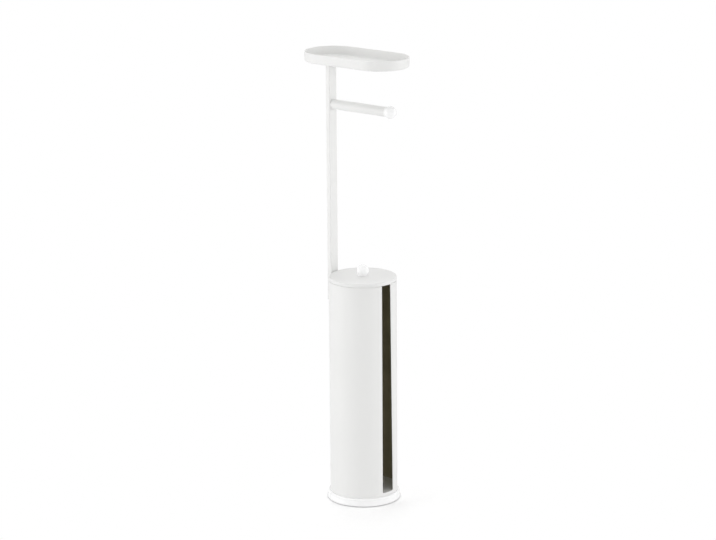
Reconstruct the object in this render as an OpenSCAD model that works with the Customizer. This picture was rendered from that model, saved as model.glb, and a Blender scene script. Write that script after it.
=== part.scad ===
// Free-standing toilet paper holder: a slotted canister with a lift-off lid stands on a weighted
// base, and a flat post on its back carries an arm and an oval shelf tray. Millimetres. Z is up,
// the origin is the centre of the foot pad on the floor, X runs along the arm, and the post
// stands on the -X side of the canister.

/* [Base] */
// Diameter of the base where it meets the floor
base_d = 150; // [144:1:170]
// Diameter of the base at its shoulder
base_top_d = 146; // [142:1:150]
// Height of the base, from the floor to the face that the canister stands on
base_h = 17; // [15:0.5:26]
// Rounding of the shoulder
base_round = 3; // [2:0.5:4]
// Sheet thickness of the base shell
base_wall = 1.2; // [0.8:0.1:1.6]
// Upright lip at the lower edge of the base shell
base_lip = 2; // [1:0.5:4]
// Distance of the groove around the base from the base's top
groove_drop = 4.5; // [4:0.5:7]
// Width of the groove
groove_w = 1; // [0.6:0.1:1.4]
// Depth of the groove
groove_t = 0.4; // [0.2:0.1:0.5]
// Diameter of the ballast disc inside the base
ballast_d = 136; // [116:1:138]
// Thickness of the ballast disc
ballast_t = 8; // [6:0.5:10]
// Diameter of the foam foot pad
pad_d = 132; // [110:1:134]
// Thickness of the foam foot pad
pad_t = 1.5; // [1:0.5:3]

/* [Canister] */
// Outer diameter of the sheet metal canister
can_d = 138; // [130:1:140]
// Sheet thickness of the canister
can_wall = 1; // [0.6:0.1:1.5]
// Height of the canister wall
can_h = 452.5; // [330:0.5:560]
// How far the sheet steps in around the rim, under the lid's skirt
neck_in = 1.2; // [0.6:0.1:2]
// Width of the slot at its lower end
slot_w = 30.5; // [20:0.5:44]
// How much narrower the slot is at the rim, where the free edge springs in
slot_close = 7; // [0:0.5:10]
// Height of the closed band under the slot
slot_band = 7; // [5:0.5:20]
// Rounding of the slot's lower corners
slot_round = 3; // [1:0.5:6]
// Turn of the slot from the side that faces away from the post
slot_turn = -5; // [-60:1:60]
// Height of the canister floor above the base
floor_rise = 6.4; // [6:0.2:9]
// Sheet thickness of the canister floor
floor_wall = 1.2; // [0.8:0.1:1.6]

/* [Lid] */
// Sheet thickness of the lid
lid_wall = 1; // [0.6:0.1:1.5]
// Depth of the skirt around the lid, measured from the canister rim down
lid_skirt = 6; // [4:0.5:12]
// Free gap between the skirt and the neck of the canister
lid_gap = 0.4; // [0.3:0.1:0.8]
// Free gap between the lower edge of the skirt and the shoulder of the canister
lid_seam = 0.8; // [0.4:0.1:1.5]
// Rounding of the lid's upper edge
lid_round = 2; // [0.8:0.1:2]
// How far the pressed panel in the lid stands above its seat on the rim
lid_raise = 1.2; // [0.4:0.1:3]
// Width of the slope between the raised panel and the seat
lid_slope_w = 12; // [4:0.5:16]
// Width of the flat seat inside the canister rim
lid_seat_w = 2; // [1:0.5:4]
// Thickness of the washer under the lid
lid_washer_t = 1.2; // [0.8:0.1:2]

/* [Knobs] */
// Diameter of the ball knobs on the lid and on the arm
knob_d = 25.2; // [22:0.2:32]
// Diameter of the foot under each knob
knob_foot_d = 20; // [14:0.5:20]
// Height of the straight part of the knob foot
knob_foot_h = 2.6; // [1:0.2:5]
// Distance from the knob foot to the centre of the ball
knob_rise = 9.8; // [9:0.2:12]
// Thread diameter in the knobs
knob_thread_d = 6; // [5:1:8]
// Depth of the threaded hole in the knobs
knob_thread_l = 10; // [8:0.5:14]

/* [Post] */
// Width of the post, across the arm
post_w = 23; // [18:0.5:30]
// Thickness of the post, along the arm
post_t = 10; // [9:0.5:16]
// Wall of the post tube
post_wall = 1.2; // [1:0.1:1.6]
// Corner radius of the post tube
post_round = 1.6; // [1.6:0.1:3]
// Length of the post tube
post_len = 490; // [380:1:620]
// How far the post tube reaches down past the canister rim
post_lap = 57.5; // [50:0.5:90]
// Gap between the canister and the inner face of the post
post_gap = 4; // [3:0.5:8]
// Thickness of the plug's flange at the lower end of the post
plug_flange = 2; // [1:0.5:4]
// Depth of the plug inside the post
plug_depth = 6; // [4:0.5:10]

/* [Arm] */
// Diameter of the arm tube
arm_d = 20; // [18:0.5:26]
// Wall of the arm tube
arm_wall = 1; // [0.8:0.1:1.5]
// Length of the arm tube
arm_len = 135.5; // [110:0.5:160]
// Depth of the arm axis below the top of the post
arm_drop = 86; // [70:1:110]
// Length of the threaded insert in each end of the arm
insert_l = 12; // [10:0.5:20]

/* [Shelf tray] */
// Length of the tray, along the arm
tray_l = 235; // [200:1:280]
// Width of the tray
tray_w = 115; // [90:1:140]
// Height of the tray
tray_h = 20; // [14:0.5:30]
// Sheet thickness of the tray
tray_wall = 1; // [0.8:0.1:1.6]
// Rounding where the tray wall turns into the tray floor
tray_round = 4; // [2:0.5:6]
// Distance from the post axis to the middle of the tray
tray_reach = 66; // [50:1:80]
// Thickness of the bracket plate under the tray
bracket_t = 3; // [2:0.5:5]
// Width of the bracket plate
bracket_w = 36; // [24:1:60]
// Corner radius of the bracket plate
bracket_round = 6; // [3:0.5:10]
// Distance between the two tray screws
bracket_pitch = 26; // [18:1:34]
// Distance from the outer tray screw to the end of the bracket plate
bracket_edge = 9; // [7:0.5:14]
// How far the bracket plate stands out behind the post
bracket_back = 4; // [2:0.5:8]
// Free gap between the post and the nut of the inner tray screw
bracket_nut_gap = 6; // [4:0.5:12]

/* [Fasteners] */
// Thread diameter of the base, post and tray screws
screw_d = 5; // [4:1:5]
// Free gap around a screw in its clearance hole
screw_gap = 0.3; // [0.2:0.1:0.5]
// Number of screws that hold the base to the canister floor
base_screws_n = 3; // [3:1:6]
// Diameter of the circle that the base screws stand on
base_screw_ring_d = 90; // [70:1:100]
// Diameter of the spacers and saddle washers at the post
spacer_d = 12; // [11:0.5:14]
// Thickness of the saddle washers inside the canister, at their edge
washer_t = 1.6; // [1:0.2:3]
// Wall of the spacer sleeves between ballast and base shell
sleeve_wall = 1.5; // [1:0.1:2]

/* [Hidden] */
$fn = 96;

// Colours as they show
coat_white = [0.93, 0.93, 0.915];
knob_white = [0.97, 0.97, 0.96];
foam_black = [0.13, 0.13, 0.13];
ballast_grey = [0.36, 0.36, 0.38];
zinc = [0.72, 0.73, 0.75];
plug_white = [0.9, 0.9, 0.89];

// Overlap that keeps a cut from ending in a shared face
cut = 1;
// Facets of a large cylinder that shapes a small saddle
fine = 360;
// Gap around and below a sunk screw head
head_gap = 0.5;
// Gap around a screw head where a driver reaches it through the foot pad
driver_gap = 1.5;
// How far a screw stays short of the end of its hole
tip_gap = 1;
// How far a screw stands out of its nut
tip_out = 1.5;
// Turn of the first base screw from the +X side
base_screw_turn = 60;
// Wall of the plug's collar inside the post
plug_collar_wall = 1.5;

// Screw heads and nuts, from the thread diameter
head_d = screw_d * 1.84;
head_h = screw_d * 0.6;
nut_w = screw_d * 1.6;
nut_h = screw_d * 0.8;
hole_d = screw_d + 2 * screw_gap;
knob_screw_head_d = knob_thread_d * 1.84;
knob_screw_head_h = knob_thread_d * 0.6;
knob_hole_d = knob_thread_d + 2 * screw_gap;

// Levels of the base stack
ballast_top = pad_t + ballast_t;
shell_plate_z = base_h - base_wall;
floor_top = base_h + floor_rise;
floor_plate_z = floor_top - floor_wall;
base_nut_z = floor_plate_z - nut_h;
head_recess = head_h + head_gap;
base_screw_tip = floor_plate_z + floor_wall / 2;
groove_z = base_h - groove_drop;
flare_low = pad_t + base_lip;
flare_top = base_h - base_round;
groove_r = base_top_d / 2 + (base_d - base_top_d) / 2 * (flare_top - groove_z) / (flare_top - flare_low);

// Canister and lid
can_r = can_d / 2;
can_in_r = can_r - can_wall;
neck_r = can_r - neck_in;
neck_in_r = neck_r - can_wall;
rim_z = base_h + can_h;
shoulder_z = rim_z - lid_skirt - lid_seam;
slot_z = base_h + slot_band;
skirt_in_r = neck_r + lid_gap;
lid_r = skirt_in_r + lid_wall;
lid_edge_z = rim_z + lid_wall;
lid_under = rim_z + lid_raise;
lid_top = lid_under + lid_wall;
lid_slope_out = neck_in_r - lid_seat_w;
lid_slope_in = lid_slope_out - lid_slope_w;
lid_inner_round = min(max(lid_round - lid_wall, 0.1), lid_gap);
lid_washer_d = knob_thread_d * 2.4;
lid_screw_tip = lid_top + knob_thread_l - tip_gap;

// Post, its screws and its plug
post_x = -(can_r + post_gap + post_t / 2);
post_face_x = post_x + post_t / 2;
post_back_x = post_x - post_t / 2;
post_z = rim_z - post_lap;
post_top = post_z + post_len;
post_in_t = post_t - 2 * post_wall;
post_in_w = post_w - 2 * post_wall;
post_in_round = max(post_round - post_wall, 0.2);
rivet_d = screw_d * 1.4;
rivet_flange_d = screw_d * 2;
rivet_flange_t = screw_d * 0.16;
rivet_gap = 0.6;
rivet_l = post_in_t - rivet_gap;
screw_room = 6;
post_screw_top = rim_z - lid_skirt - screw_room - spacer_d / 2;
post_screw_low = post_z + plug_depth + tip_out + rivet_d / 2;
post_screw_levels = [post_screw_low, post_screw_top];
washer_in_x = -(sqrt(can_in_r * can_in_r - spacer_d * spacer_d / 4) - washer_t);
post_screw_tip = post_face_x - post_wall - rivet_l + tip_gap;

// Arm
arm_z = post_top - arm_drop;
arm_end_x = post_face_x + arm_len;
insert_d = arm_d - 2 * arm_wall;
arm_screw_tip = post_face_x + insert_l - tip_gap;
arm_stud_root = arm_end_x - insert_l + tip_gap;
arm_stud_tip = arm_end_x + knob_thread_l - tip_gap;

// Tray and bracket
tray_z = post_top + bracket_t;
tray_x = post_x + tray_reach;
tray_end_r = tray_w / 2;
tray_straight = tray_l / 2 - tray_end_r;
bracket_first = post_face_x + nut_w / 2 + bracket_nut_gap;
bracket_x0 = post_back_x - bracket_back;
bracket_x1 = bracket_first + bracket_pitch + bracket_edge;
tray_screw_xs = [bracket_first, bracket_first + bracket_pitch];
truss_d = screw_d * 2.2;
truss_h = screw_d * 0.44;
tray_nut_z = post_top - nut_h;

// A cylinder that lies along X from x0 to x1
module rod_x(x0, x1, d, z) {
  translate([x0, 0, z]) rotate([0, 90, 0]) cylinder(d = d, h = x1 - x0);
}

// A rectangle with round corners, centred on the origin
module round_rect(l, w, r) {
  square([l - 2 * r, w], center = true);
  square([l, w - 2 * r], center = true);
  for (sx = [-1, 1], sy = [-1, 1])
    translate([sx * (l / 2 - r), sy * (w / 2 - r)]) circle(r);
}

// The crossed slots of a screwdriver recess, cut down from z = 0
module cross_recess(d, depth) {
  for (turn = [0, 90])
    rotate(turn) translate([-d * 0.28, -d * 0.055, -depth]) cube([d * 0.56, d * 0.11, depth + cut]);
}

// A pan-head screw that stands on z = 0 with its shank up and its head below
module pan_screw(d, length, hd, hh) {
  cylinder(d = d, h = length);
  rotate([180, 0, 0]) difference() {
    union() {
      cylinder(d = hd, h = hh * 0.55);
      translate([0, 0, hh * 0.55]) cylinder(d1 = hd, d2 = hd * 0.72, h = hh * 0.45);
    }
    translate([0, 0, hh]) cross_recess(hd, hh * 0.5);
  }
}

// A hexagon nut that stands on z = 0
module hex_nut(w, h, d) {
  difference() {
    cylinder(d = w / cos(30), h = h, $fn = 6);
    translate([0, 0, -cut]) cylinder(d = d, h = h + 2 * cut);
  }
}

// Places what follows at each base screw
module at_base_screws() {
  for (i = [0 : base_screws_n - 1])
    rotate(base_screw_turn + i * 360 / base_screws_n) translate([base_screw_ring_d / 2, 0, 0]) children();
}

// Base
module base_pad() {
  color(foam_black) difference() {
    cylinder(d = pad_d, h = pad_t);
    at_base_screws() translate([0, 0, -cut]) cylinder(d = head_d + 2 * driver_gap, h = pad_t + 2 * cut);
  }
}

module base_ballast() {
  color(ballast_grey) translate([0, 0, pad_t]) difference() {
    cylinder(d = ballast_d, h = ballast_t);
    at_base_screws() {
      translate([0, 0, -cut]) cylinder(d = hole_d, h = ballast_t + 2 * cut);
      translate([0, 0, -cut]) cylinder(d = head_d + 2 * head_gap, h = head_recess + cut);
    }
  }
}

module base_sleeves() {
  sleeve_h = shell_plate_z - ballast_top;
  color(zinc) at_base_screws() translate([0, 0, ballast_top]) difference() {
    cylinder(d = hole_d + 2 * sleeve_wall, h = sleeve_h);
    translate([0, 0, -cut]) cylinder(d = hole_d, h = sleeve_h + 2 * cut);
  }
}

// Half outline of the base: a flared wall with a lip, and a round shoulder
module base_outline(foot_r, shoulder_r, low, top, round_r) {
  round_z = top - round_r;
  polygon([[0, low], [foot_r, low], [foot_r, pad_t + base_lip], [shoulder_r, round_z],
    [0, round_z]]);
  square([shoulder_r - round_r, top]);
  translate([shoulder_r - round_r, round_z]) circle(round_r);
}

// The ring that cuts the groove into the flared wall
module groove_ring() {
  rotate_extrude() translate([groove_r - groove_t, groove_z - groove_w / 2])
    square([groove_t + cut, groove_w]);
}

module base_shell() {
  color(coat_white) difference() {
    rotate_extrude() intersection() {
      difference() {
        base_outline(base_d / 2, base_top_d / 2, pad_t, base_h, base_round);
        base_outline(base_d / 2 - base_wall, base_top_d / 2 - base_wall, pad_t - cut,
          shell_plate_z, base_round - base_wall);
      }
      translate([0, pad_t]) square([base_d, base_h]);
    }
    groove_ring();
    at_base_screws() cylinder(d = hole_d, h = base_h + cut);
  }
}

module base_screws() {
  head_z = pad_t + head_recess;
  color(zinc) at_base_screws() translate([0, 0, head_z])
    pan_screw(screw_d, base_screw_tip - head_z, head_d, head_h);
}

module base_nuts() {
  color(zinc) at_base_screws() translate([0, 0, base_nut_z]) hex_nut(nut_w, nut_h, screw_d);
}

// Canister
module canister_floor() {
  color(coat_white) difference() {
    translate([0, 0, base_h]) cylinder(r = can_in_r, h = floor_rise);
    translate([0, 0, base_h - cut]) cylinder(r = can_in_r - floor_wall, h = floor_plate_z - base_h + cut);
    at_base_screws() cylinder(d = hole_d, h = floor_top + cut);
  }
}

// The slot seen from outside, from its lower end up past the rim
module slot_outline() {
  half = slot_w / 2;
  low = slot_z + slot_round;
  polygon([[-half, low], [half, low], [half - slot_close, rim_z + cut], [-half, rim_z + cut]]);
  translate([-half + slot_round, slot_z]) square([slot_w - 2 * slot_round, slot_round + cut]);
  for (side = [-1, 1])
    translate([side * (half - slot_round), low]) circle(slot_round);
}

module canister() {
  color(coat_white) difference() {
    union() {
      translate([0, 0, base_h]) cylinder(d = can_d, h = shoulder_z - base_h);
      translate([0, 0, base_h]) cylinder(r = neck_r, h = can_h);
    }
    translate([0, 0, base_h - cut]) cylinder(r = can_in_r, h = shoulder_z - can_wall - base_h + cut);
    translate([0, 0, base_h - cut]) cylinder(r = neck_in_r, h = can_h + 2 * cut);
    rotate(slot_turn) rotate([90, 0, 90]) linear_extrude(can_d) slot_outline();
    for (z = post_screw_levels) rod_x(-can_d, 0, hole_d, z);
  }
}

// Fixing of the post: saddle washer, canister, saddle spacer, rivet nut, post
module post_spacers() {
  color(plug_white) for (z = post_screw_levels) difference() {
    rod_x(post_face_x + rivet_flange_t, -can_in_r / 2, spacer_d, z);
    rod_x(post_face_x - cut, 0, hole_d, z);
    translate([0, 0, z - spacer_d]) cylinder(r = can_r, h = 2 * spacer_d, $fn = fine);
  }
}

module post_washers() {
  color(plug_white) for (z = post_screw_levels) intersection() {
    difference() {
      rod_x(-can_r, washer_in_x, spacer_d, z);
      rod_x(-can_d, 0, hole_d, z);
    }
    translate([0, 0, z - spacer_d]) cylinder(r = can_in_r, h = 2 * spacer_d, $fn = fine);
  }
}

module post_screws() {
  color(zinc) for (z = post_screw_levels) translate([washer_in_x, 0, z]) rotate([0, -90, 0])
    pan_screw(screw_d, washer_in_x - post_screw_tip, head_d, head_h);
}

module post_rivet_nuts() {
  color(zinc) for (z = post_screw_levels) difference() {
    union() {
      rod_x(post_face_x - post_wall - rivet_l, post_face_x, rivet_d, z);
      rod_x(post_face_x, post_face_x + rivet_flange_t, rivet_flange_d, z);
    }
    rod_x(post_back_x, post_face_x + rivet_flange_t + cut, screw_d, z);
  }
}

// Post
module post() {
  color(coat_white) difference() {
    translate([post_x, 0, post_z]) linear_extrude(post_len) difference() {
      round_rect(post_t, post_w, post_round);
      round_rect(post_in_t, post_in_w, post_in_round);
    }
    for (z = post_screw_levels) rod_x(post_x, post_face_x + cut, rivet_d, z);
    rod_x(post_back_x - cut, post_face_x + cut, knob_hole_d, arm_z);
  }
}

module post_plug() {
  color(plug_white) translate([post_x, 0, post_z]) {
    translate([0, 0, -plug_flange]) linear_extrude(plug_flange) round_rect(post_t, post_w, post_round);
    linear_extrude(plug_depth) difference() {
      round_rect(post_in_t, post_in_w, post_in_round);
      square([post_in_t - 2 * plug_collar_wall, post_in_w - 2 * plug_collar_wall], center = true);
    }
  }
}

// Shelf tray and the plate that carries it
module tray_bracket() {
  bracket_l = bracket_x1 - bracket_x0;
  color(coat_white) difference() {
    translate([(bracket_x0 + bracket_x1) / 2, 0, post_top]) linear_extrude(bracket_t)
      round_rect(bracket_l, bracket_w, bracket_round);
    for (x = tray_screw_xs) translate([x, 0, post_top - cut]) cylinder(d = hole_d, h = bracket_t + 2 * cut);
  }
}

// Half section of a body with a round lower edge
module tray_section(r, z0, z1, round_r) {
  translate([0, z0]) square([r - round_r, z1 - z0]);
  translate([0, z0 + round_r]) square([r, z1 - z0 - round_r]);
  translate([r - round_r, z0 + round_r]) circle(round_r);
}

// The oval body that such a section makes
module tray_body(r, z0, z1, round_r) {
  for (side = [-1, 1])
    translate([side * tray_straight, 0, 0]) rotate_extrude() tray_section(r, z0, z1, round_r);
  for (side = [0, 180]) rotate([90, 0, 90 + side]) translate([0, 0, -tray_straight])
    linear_extrude(2 * tray_straight) tray_section(r, z0, z1, round_r);
}

module tray() {
  color(coat_white) difference() {
    translate([tray_x, 0, tray_z]) difference() {
      tray_body(tray_end_r, 0, tray_h, tray_round);
      tray_body(tray_end_r - tray_wall, tray_wall, tray_h + cut, tray_round - tray_wall);
    }
    for (x = tray_screw_xs) translate([x, 0, tray_z - cut]) cylinder(d = hole_d, h = tray_wall + 2 * cut);
  }
}

module tray_screws() {
  seat = tray_z + tray_wall;
  color(zinc) for (x = tray_screw_xs) translate([x, 0, seat]) rotate([180, 0, 0])
    pan_screw(screw_d, seat - tray_nut_z + tip_out, truss_d, truss_h);
}

module tray_nuts() {
  color(zinc) for (x = tray_screw_xs) translate([x, 0, tray_nut_z]) hex_nut(nut_w, nut_h, screw_d);
}

// Arm
module arm_tube() {
  color(coat_white) difference() {
    rod_x(post_face_x, arm_end_x, arm_d, arm_z);
    rod_x(post_face_x - cut, arm_end_x + cut, insert_d, arm_z);
  }
}

module arm_inserts() {
  color(zinc) for (x0 = [post_face_x, arm_end_x - insert_l]) difference() {
    rod_x(x0, x0 + insert_l, insert_d, arm_z);
    rod_x(x0 - cut, x0 + insert_l + cut, knob_thread_d, arm_z);
  }
}

module arm_screw() {
  color(zinc) translate([post_back_x, 0, arm_z]) rotate([0, 90, 0])
    pan_screw(knob_thread_d, arm_screw_tip - post_back_x, knob_screw_head_d, knob_screw_head_h);
}

module arm_stud() {
  color(zinc) rod_x(arm_stud_root, arm_stud_tip, knob_thread_d, arm_z);
}

// A ball knob that stands on z = 0
module ball_knob() {
  color(knob_white) difference() {
    union() {
      cylinder(d = knob_foot_d, h = knob_foot_h);
      translate([0, 0, knob_rise]) sphere(d = knob_d);
    }
    translate([0, 0, -knob_d]) cylinder(d = 2 * knob_d, h = knob_d);
    translate([0, 0, -cut]) cylinder(d = knob_thread_d, h = knob_thread_l + cut);
  }
}

module arm_knob() {
  translate([arm_end_x, 0, arm_z]) rotate([0, 90, 0]) ball_knob();
}

// Lid
module lid() {
  skirt_z = rim_z - lid_skirt;
  edge_r = lid_r - lid_round;
  inner_r = skirt_in_r - lid_inner_round;
  color(coat_white) rotate_extrude() difference() {
    union() {
      polygon([[0, skirt_z], [lid_r, skirt_z], [lid_r, lid_edge_z - lid_round], [edge_r, lid_edge_z],
        [lid_slope_out, lid_edge_z], [lid_slope_in, lid_top], [0, lid_top]]);
      translate([edge_r, lid_edge_z - lid_round]) circle(lid_round);
    }
    polygon([[0, skirt_z - cut], [skirt_in_r, skirt_z - cut], [skirt_in_r, rim_z - lid_inner_round],
      [inner_r, rim_z], [lid_slope_out, rim_z], [lid_slope_in, lid_under], [0, lid_under]]);
    translate([inner_r, rim_z - lid_inner_round]) circle(lid_inner_round);
    square([knob_hole_d / 2, lid_top + cut]);
  }
}

module lid_washer() {
  color(zinc) translate([0, 0, lid_under - lid_washer_t]) difference() {
    cylinder(d = lid_washer_d, h = lid_washer_t);
    translate([0, 0, -cut]) cylinder(d = knob_hole_d, h = lid_washer_t + 2 * cut);
  }
}

module lid_screw() {
  seat = lid_under - lid_washer_t;
  color(zinc) translate([0, 0, seat])
    pan_screw(knob_thread_d, lid_screw_tip - seat, knob_screw_head_d, knob_screw_head_h);
}

module lid_knob() {
  translate([0, 0, lid_top]) ball_knob();
}

base_pad();
base_ballast();
base_sleeves();
base_shell();
base_screws();
base_nuts();
canister_floor();
canister();
post_spacers();
post_washers();
post_screws();
post_rivet_nuts();
post();
post_plug();
tray_bracket();
tray();
tray_screws();
tray_nuts();
arm_tube();
arm_inserts();
arm_screw();
arm_stud();
arm_knob();
lid();
lid_washer();
lid_screw();
lid_knob();
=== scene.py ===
"""Dresses the free-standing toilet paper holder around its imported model.

A slotted canister stands on a weighted base, and a flat post on its back carries the arm and an
oval shelf tray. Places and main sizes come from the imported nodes. The settings below add what
their boxes don't say: sheet thickness, edge rounding, slot, finish, light and camera.
"""
from math import atan2, ceil, cos, pi, radians, sin, sqrt, tan

import bmesh
import bpy
from bpy.props import FloatProperty, FloatVectorProperty, IntProperty, PointerProperty
from mathutils import Matrix, Quaternion, Vector


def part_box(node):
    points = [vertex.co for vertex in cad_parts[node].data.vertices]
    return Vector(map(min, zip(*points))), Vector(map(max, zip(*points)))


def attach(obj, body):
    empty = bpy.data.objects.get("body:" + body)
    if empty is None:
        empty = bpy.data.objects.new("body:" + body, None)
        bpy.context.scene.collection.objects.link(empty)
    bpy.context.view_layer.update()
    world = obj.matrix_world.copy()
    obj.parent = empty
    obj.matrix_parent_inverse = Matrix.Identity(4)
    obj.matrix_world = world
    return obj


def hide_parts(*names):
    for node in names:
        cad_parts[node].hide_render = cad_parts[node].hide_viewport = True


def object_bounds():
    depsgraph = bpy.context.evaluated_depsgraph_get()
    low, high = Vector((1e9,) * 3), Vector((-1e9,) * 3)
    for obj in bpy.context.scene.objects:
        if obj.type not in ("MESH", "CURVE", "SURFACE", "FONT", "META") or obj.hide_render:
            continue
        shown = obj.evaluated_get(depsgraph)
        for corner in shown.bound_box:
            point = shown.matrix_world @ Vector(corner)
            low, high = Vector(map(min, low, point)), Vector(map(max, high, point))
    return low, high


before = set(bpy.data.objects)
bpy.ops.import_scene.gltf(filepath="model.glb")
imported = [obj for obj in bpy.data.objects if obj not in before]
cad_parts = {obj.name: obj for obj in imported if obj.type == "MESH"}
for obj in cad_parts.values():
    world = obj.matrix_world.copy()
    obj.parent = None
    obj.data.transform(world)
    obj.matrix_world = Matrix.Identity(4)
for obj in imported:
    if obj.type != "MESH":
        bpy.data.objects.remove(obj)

bl_info = {
    "name": "Paper Holder Dressing",
    "version": (1, 0, 0),
    "blender": (4, 5, 0),
    "location": "View3D > Sidebar > Paper Holder",
    "description": "Builds the detailed pieces and finishes of a canister stand with arm and tray",
    "category": "Object",
}

CAD_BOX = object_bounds()
MM = 0.001
ARC_STEP = radians(11)
MERGE_DISTANCE = 1e-6
QUARTER_SEGMENTS = 32
HOLE_SEGMENTS = 32
SENSOR_WIDTH = 36.0

# Sockets of a Mix node that share their names with others
NUMBER_A, NUMBER_B, COLOUR_A, COLOUR_B, COLOUR_RESULT = 2, 3, 6, 7, 2


# Settings

def length(name, description, millimetres):
    """A length property with its default in millimetres."""
    return FloatProperty(name=name, description=description, default=millimetres * MM, min=0.0,
                         precision=5, unit="LENGTH", subtype="DISTANCE")


def colour(name, description, shade):
    """A colour property in linear light."""
    return FloatVectorProperty(name=name, description=description, default=shade, min=0.0, max=1.0,
                               size=3, subtype="COLOR")


def angle(name, description, degrees):
    """An angle property with its default in degrees."""
    return FloatProperty(name=name, description=description, default=radians(degrees), unit="ROTATION",
                         subtype="ANGLE")


def share(name, description, value, high=1.0):
    """A plain number from 0 to high."""
    return FloatProperty(name=name, description=description, default=value, min=0.0, max=high,
                         subtype="FACTOR")


def metres(name, description, value):
    """A large length property in metres."""
    return FloatProperty(name=name, description=description, default=value, min=0.0, unit="LENGTH",
                         subtype="DISTANCE")


def watts(name, description, value):
    """The power of a lamp."""
    return FloatProperty(name=name, description=description, default=value, min=0.0, unit="POWER")


def per_metre(name, description, number):
    """How many waves of a pattern go in a metre."""
    return FloatProperty(name=name, description=description, default=number, min=0.0)


def whole(name, description, number, low=1):
    """A whole number."""
    return IntProperty(name=name, description=description, default=number, min=low)


class BaseSizes(bpy.types.PropertyGroup):
    """What the box of the base shell doesn't say."""
    shoulder_radius: length("Shoulder radius", "Radius of the base at its shoulder", 73.0)
    shoulder_round: length("Shoulder rounding", "Rounding of the shoulder", 3.0)
    wall: length("Wall", "Sheet thickness of the shell", 1.2)
    lip: length("Lip", "Height of the upright lip at the foot", 2.0)
    groove_drop: length("Groove drop", "Distance of the groove from the top of the base", 4.5)
    groove_width: length("Groove width", "Width of the groove around the flare", 1.0)
    groove_depth: length("Groove depth", "Depth of the groove around the flare", 0.4)
    groove_round: length("Groove rounding", "Rounding of the groove's edges", 0.15)
    lip_round: length("Lip rounding", "Rounding where the flare meets the lip", 1.0)
    foot_round: length("Foot rounding", "Rounding of the lip's lower edges", 0.4)


class CanisterSizes(bpy.types.PropertyGroup):
    """The canister's sheet and its slot."""
    wall: length("Wall", "Sheet thickness", 1.0)
    edge: length("Edge", "Rounding that the coat gives each cut edge", 0.25)
    edge_segments: whole("Edge faces", "Faces across each rounded edge", 2)
    edge_angle: angle("Edge angle", "Edges that turn by more than this are rounded", 50.0)
    neck: length("Neck", "How far the sheet steps in around the rim, under the lid's skirt", 1.2)
    seam: length("Seam", "Free gap between the lid's skirt and the shoulder under it", 0.8)
    slot_width: length("Slot width", "Width of the slot at its lower end", 30.5)
    slot_close: length("Slot closing", "How much narrower the slot is at the rim", 7.0)
    slot_band: length("Slot band", "Height of the closed band under the slot", 7.0)
    slot_round: length("Slot corners", "Rounding of the slot's lower corners", 3.0)
    slot_turn: angle("Slot turn", "Turn of the slot from the side that faces away from the post", -5.0)
    columns: whole("Columns", "Faces around the sheet", 144, 48)
    rows: whole("Rows", "Faces from the slot's corners up to the shoulder", 26, 4)
    slot_columns: whole("Slot columns", "Faces across the band under the slot", 8, 2)
    band_rows: whole("Band rows", "Faces up the closed band under the slot", 3)


class LidSizes(bpy.types.PropertyGroup):
    """The profile that is pressed into the lid."""
    wall: length("Wall", "Sheet thickness", 1.0)
    edge_round: length("Edge rounding", "Rounding of the outer edge", 2.0)
    inner_round: length("Inner rounding", "Rounding inside the outer edge", 0.4)
    skirt_round: length("Skirt rounding", "Rounding of the skirt's lower edges", 0.4)
    panel_rise: length("Panel rise", "Height of the raised panel above the seat", 1.2)
    panel_round: length("Panel rounding", "Rounding at both ends of the slope", 3.0)
    slope_width: length("Slope width", "Width of the slope between panel and seat", 12.0)
    seat_width: length("Seat width", "Flat seat inside the canister rim", 2.0)
    skirt_gap: length("Skirt gap", "Free gap between the skirt and the canister's neck", 0.4)
    hole_radius: length("Hole radius", "Radius of the hole for the knob's screw", 3.3)


class KnobSizes(bpy.types.PropertyGroup):
    """The ball knobs on the lid and on the arm."""
    foot_radius: length("Foot radius", "Radius of the straight foot", 10.0)
    foot_edge: length("Foot edge", "Rounding at the bottom of the foot", 0.5)
    neck: length("Neck", "Rounding in the crease between foot and ball", 1.0)
    thread_radius: length("Thread radius", "Radius of the threaded hole", 3.0)
    thread_depth: length("Thread depth", "Depth of the threaded hole", 10.0)
    thread_edge: length("Thread edge", "Rounding at the mouth of the threaded hole", 0.3)


class PostSizes(bpy.types.PropertyGroup):
    """Post tube, its plug, and the plate and weld under the tray."""
    wall: length("Wall", "Wall of the post tube", 1.2)
    corner: length("Corner", "Corner radius of the post tube", 1.6)
    plug_edge: length("Plug edge", "Rounding of the plug's lower edge", 0.5)
    plug_collar: length("Plug collar", "Wall of the plug's collar inside the post", 1.5)
    plate_corner: length("Plate corner", "Corner radius of the bracket plate", 6.0)
    plate_edge: length("Plate edge", "Rounding of the bracket plate's edges", 0.6)
    weld: length("Weld", "Leg of the fillet weld between post and plate", 2.4)
    weld_sink: length("Weld sink", "How far the weld reaches into post and plate", 0.3)
    corner_segments: whole("Corner faces", "Faces around each corner of post, plug and weld", 8)
    plate_segments: whole("Plate corner faces", "Faces around each corner of the bracket plate", 12)


class ArmSizes(bpy.types.PropertyGroup):
    """The tube of the arm."""
    wall: length("Wall", "Wall of the arm tube", 1.0)
    edge: length("Edge", "Rounding of the tube's cut ends", 0.3)


class TraySizes(bpy.types.PropertyGroup):
    """The oval tray."""
    wall: length("Wall", "Sheet thickness of the tray", 1.0)
    floor_round: length("Floor rounding", "Outer rounding where the wall turns into the floor", 4.0)
    rim_round: length("Rim rounding", "Rounding of the tray's upper edge", 0.45)
    end_segments: whole("End faces", "Faces around each quarter of the tray's ends", 36)


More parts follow.
